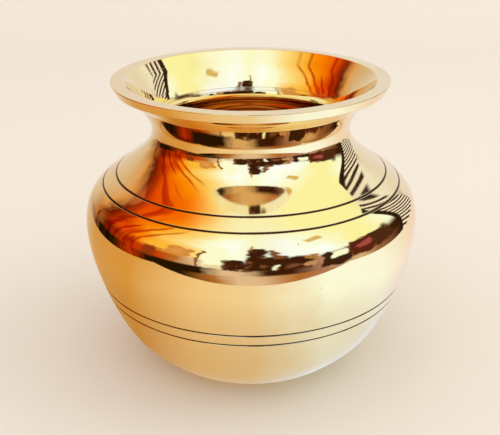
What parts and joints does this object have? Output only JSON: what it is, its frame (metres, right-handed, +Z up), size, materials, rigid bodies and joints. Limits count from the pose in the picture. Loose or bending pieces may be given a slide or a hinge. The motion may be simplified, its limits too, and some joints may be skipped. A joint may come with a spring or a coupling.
{
  "type": "brass kalash pot",
  "caption": "Round-bellied polished brass water pot with turned lines, a waisted neck and a wide flared mouth with a flat lip, made of lapped and brazed shells.",
  "frame": {"origin": "centre of the flat base, on the pot's axis", "axes": "+Z up along the pot's axis, towards the mouth; the pot is round, so X and Y are free"},
  "size_m": [0.127, 0.127, 0.1105],
  "materials": {
    "polished_brass": "turned and mirror polished, with fine polishing lines and small pits",
    "braze_filler": "as melted, slightly paler and duller than the shells"
  },
  "bodies": {
    "root": {"bottom_bowl": "polished_brass", "belly_shell": "polished_brass", "shoulder_shell": "polished_brass", "neck_flare": "polished_brass", "rim_ring": "polished_brass", "bottom_seam_braze": "braze_filler", "shoulder_seam_braze": "braze_filler", "neck_seam_braze": "braze_filler", "rim_seam_braze": "braze_filler"}
  },
  "joints": []
}
